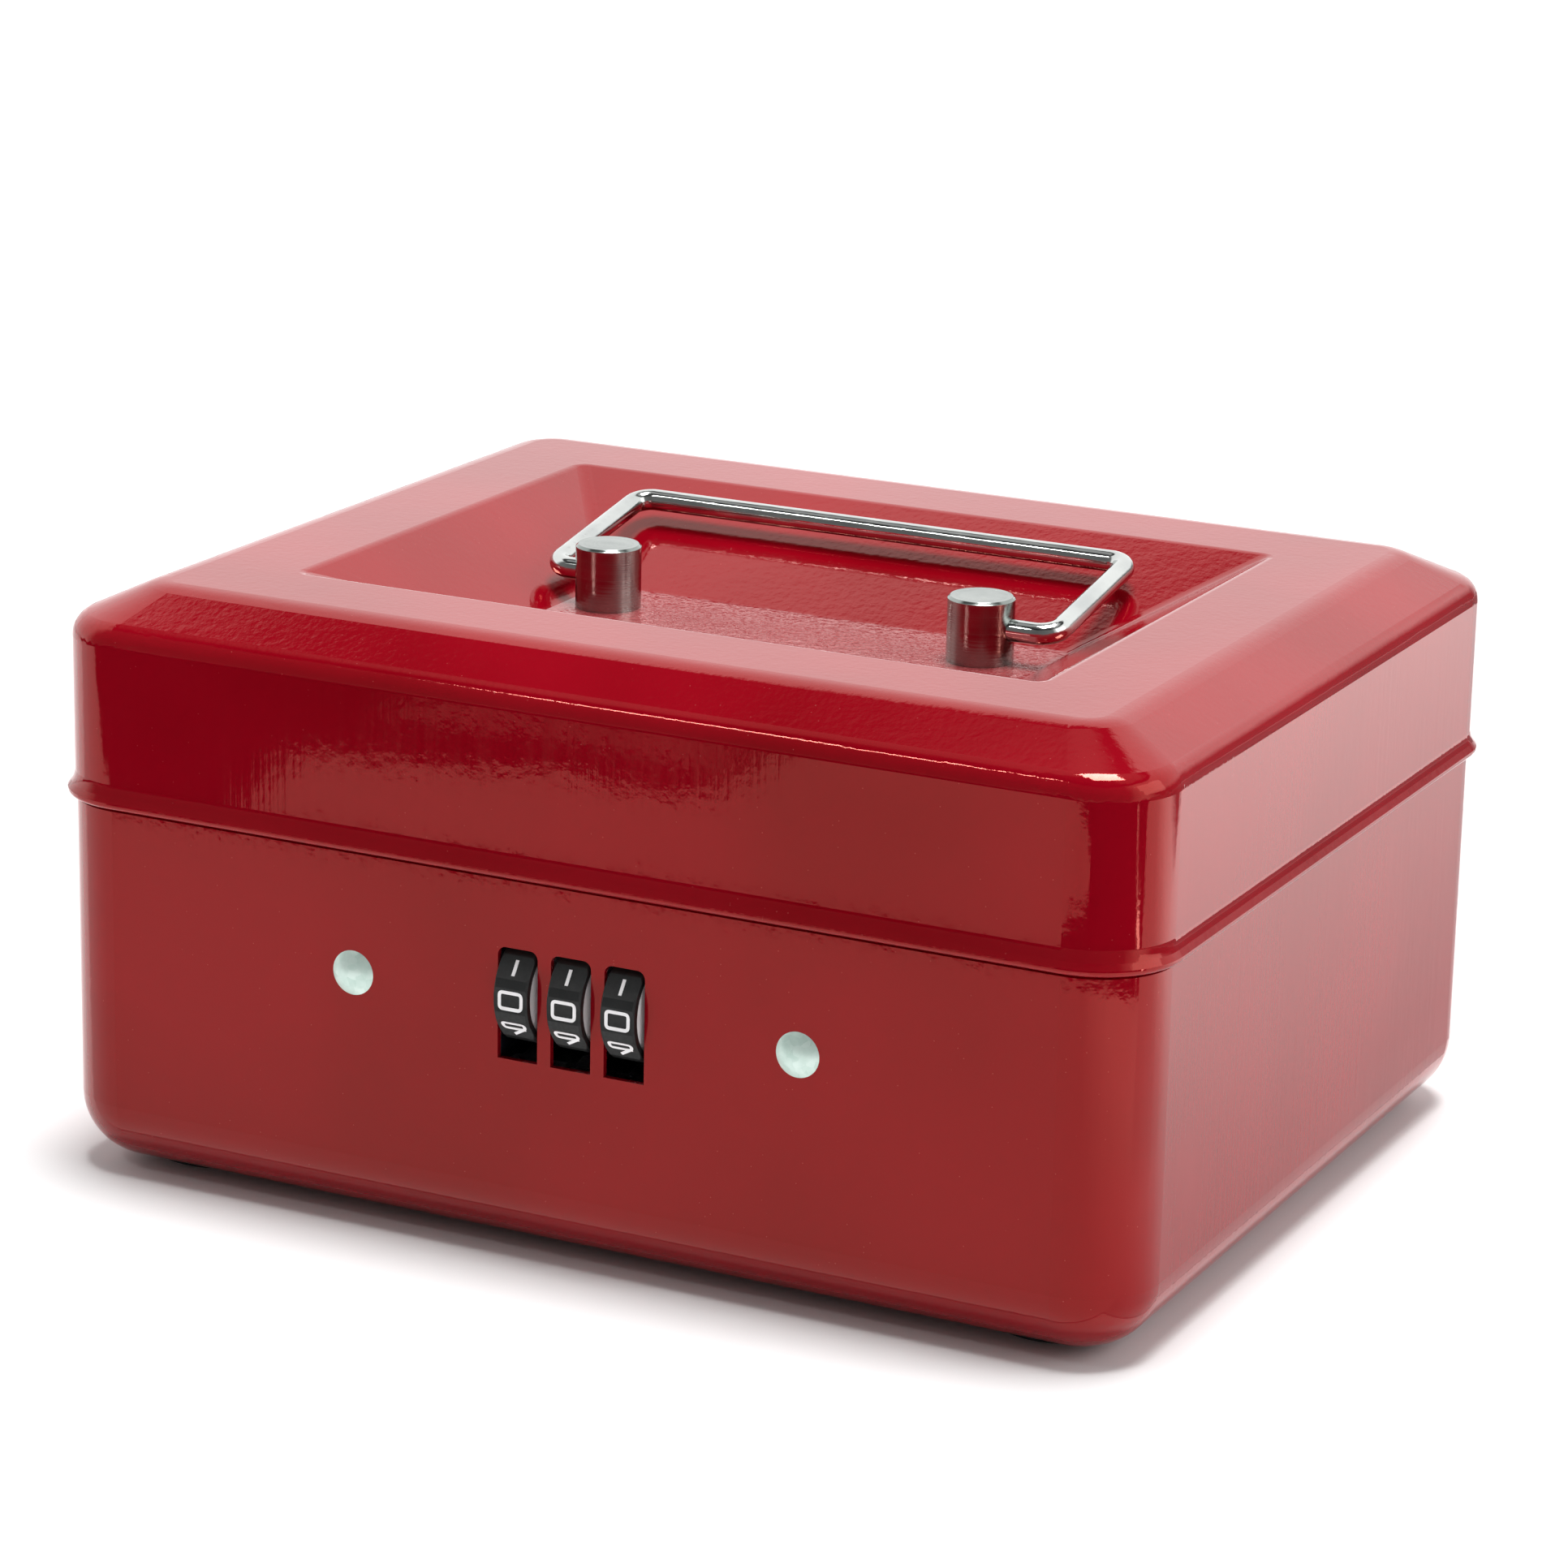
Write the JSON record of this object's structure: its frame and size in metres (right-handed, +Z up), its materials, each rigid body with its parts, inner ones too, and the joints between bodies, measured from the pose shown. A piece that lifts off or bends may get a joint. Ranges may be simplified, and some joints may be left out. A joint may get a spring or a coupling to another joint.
{
  "type": "cash box",
  "caption": "Small steel cash box with a hinged bevelled lid, a swinging wire handle in a sunken panel, a combination lock with numbered dials, and a coin tray.",
  "frame": {"origin": "centre of the object's overall footprint, hem bead to hinge knuckle, at the plane its feet stand on", "axes": "+Z up through the lid; -Y towards the dials at the front; +X to the right of someone facing the dials"},
  "size_m": [0.1538, 0.1288, 0.0781],
  "materials": {
    "red_enamel": "glossy stoved enamel with a faint orange peel",
    "bright_chrome": "polished chrome plate",
    "zinc_steel": "bright zinc plate, slightly green",
    "spring_steel": "plain spring steel",
    "black_matte_plastic": "fine matt moulded",
    "black_gloss_plastic": "glossy moulded",
    "white_plastic": "satin moulded",
    "tray_plastic": "satin moulded",
    "black_rubber": "matt"
  },
  "bodies": {
    "base": {"base_shell": "red_enamel", "hinge_leaf_base_left": "red_enamel", "hinge_leaf_base_right": "red_enamel", "hinge_pin_left": "zinc_steel", "hinge_pin_right": "zinc_steel", "lock_case": "black_gloss_plastic", "lock_back_plate": "black_gloss_plastic", "lock_screws": "zinc_steel", "lock_rivet_left": "zinc_steel", "lock_rivet_right": "zinc_steel", "dial_axle": "zinc_steel", "detent_spring": "spring_steel", "bolt_spring": "spring_steel", "foot_front_left": "black_rubber", "foot_front_right": "black_rubber", "foot_back_left": "black_rubber", "foot_back_right": "black_rubber"},
    "lid": {"lid_shell": "red_enamel", "hinge_leaf_lid_left": "red_enamel", "hinge_leaf_lid_right": "red_enamel", "handle_post_left": "bright_chrome", "handle_post_right": "bright_chrome", "handle_screw_left": "zinc_steel", "handle_screw_right": "zinc_steel", "handle_washer_left": "zinc_steel", "handle_washer_right": "zinc_steel", "lid_hook": "zinc_steel"},
    "handle": {"handle_bail": "bright_chrome"},
    "dial_1": {"dial_ring_1": "black_matte_plastic", "dial_hub_1": "white_plastic"},
    "dial_2": {"dial_ring_2": "black_matte_plastic", "dial_hub_2": "white_plastic"},
    "dial_3": {"dial_ring_3": "black_matte_plastic", "dial_hub_3": "white_plastic"},
    "bolt": {"lock_bolt": "zinc_steel"},
    "code_lever": {"code_change_lever": "black_gloss_plastic"},
    "tray": {"coin_tray": "tray_plastic"}
  },
  "joints": [
    {"name": "lid_hinge", "type": "hinge", "parent": "base", "child": "lid", "pos_m": [0, 0.06253, 0.0506], "axis": [-1, 0, 0], "range_deg": [0, 100]},
    {"name": "handle_swing", "type": "hinge", "parent": "lid", "child": "handle", "pos_m": [0, 0.00058, 0.0722], "axis": [1, 0, 0], "range_deg": [-3, 165]},
    {"name": "dial_1_turn", "type": "hinge", "parent": "base", "child": "dial_1", "pos_m": [-0.00645, -0.0577, 0.0347], "axis": [1, 0, 0], "continuous": true},
    {"name": "dial_2_turn", "type": "hinge", "parent": "base", "child": "dial_2", "pos_m": [0.001, -0.0577, 0.0347], "axis": [1, 0, 0], "continuous": true},
    {"name": "dial_3_turn", "type": "hinge", "parent": "base", "child": "dial_3", "pos_m": [0.00845, -0.0577, 0.0347], "axis": [1, 0, 0], "continuous": true},
    {"name": "bolt_slide", "type": "slide", "parent": "base", "child": "bolt", "axis": [1, 0, 0], "range_m": [0, 0.0016], "stiffness_N_per_m": 200, "springref_m": -0.003, "deforming": ["bolt_spring"]},
    {"name": "code_lever_slide", "type": "slide", "parent": "base", "child": "code_lever", "axis": [1, 0, 0], "range_m": [0, 0.0025]},
    {"name": "tray_lift", "type": "slide", "parent": "base", "child": "tray", "axis": [0, 0, 1], "range_m": [0, 0.003]}
  ]
}
